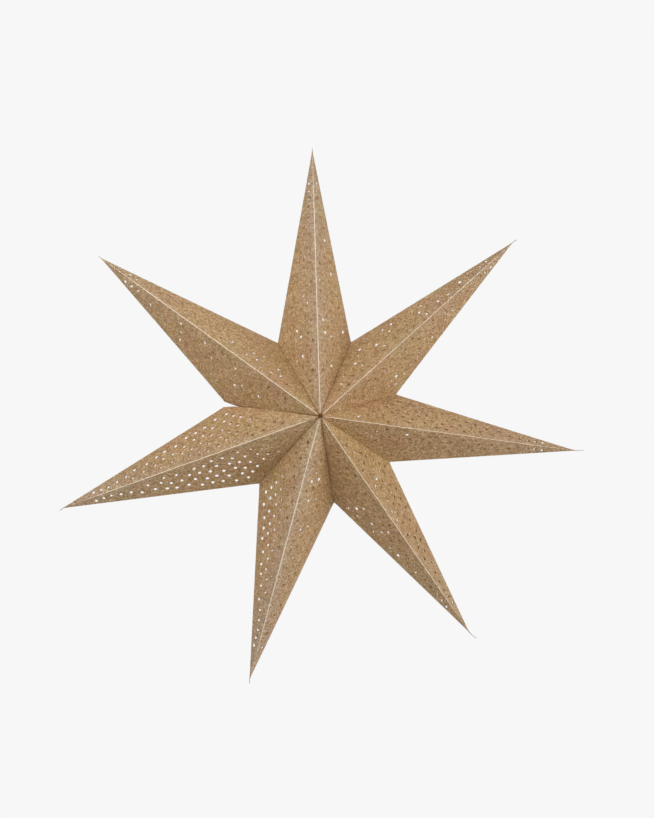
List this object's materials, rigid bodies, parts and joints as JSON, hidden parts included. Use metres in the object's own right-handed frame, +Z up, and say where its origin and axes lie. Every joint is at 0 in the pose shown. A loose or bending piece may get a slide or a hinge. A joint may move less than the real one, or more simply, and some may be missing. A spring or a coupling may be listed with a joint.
{
  "type": "folded card star decoration",
  "caption": "Hollow star of folded, punched glitter card with long points, hung as a window or wall decoration.",
  "frame": {"origin": "centre of the star, on its axis, halfway between the front and back apexes, and within 2 mm of its centroid", "axes": "+Z up through the first point, +Y from front to back along the star's axis, +X to the right seen from the front"},
  "size_m": [0.5875, 0.1486, 0.5994],
  "materials": {
    "glitter_card": "fine gold-brown glitter coating with pale cracked creases",
    "hook_tape": "woven nylon hooks",
    "loop_tape": "brushed nylon loops"
  },
  "bodies": {
    "root": {"point_1": "glitter_card", "point_2": "glitter_card", "point_3": "glitter_card", "point_4": "glitter_card", "point_5": "glitter_card", "point_6": "glitter_card", "point_7": "glitter_card", "front_hook_dot": "hook_tape", "front_loop_dot": "loop_tape", "back_hook_dot": "hook_tape", "back_loop_dot": "loop_tape"}
  },
  "joints": []
}
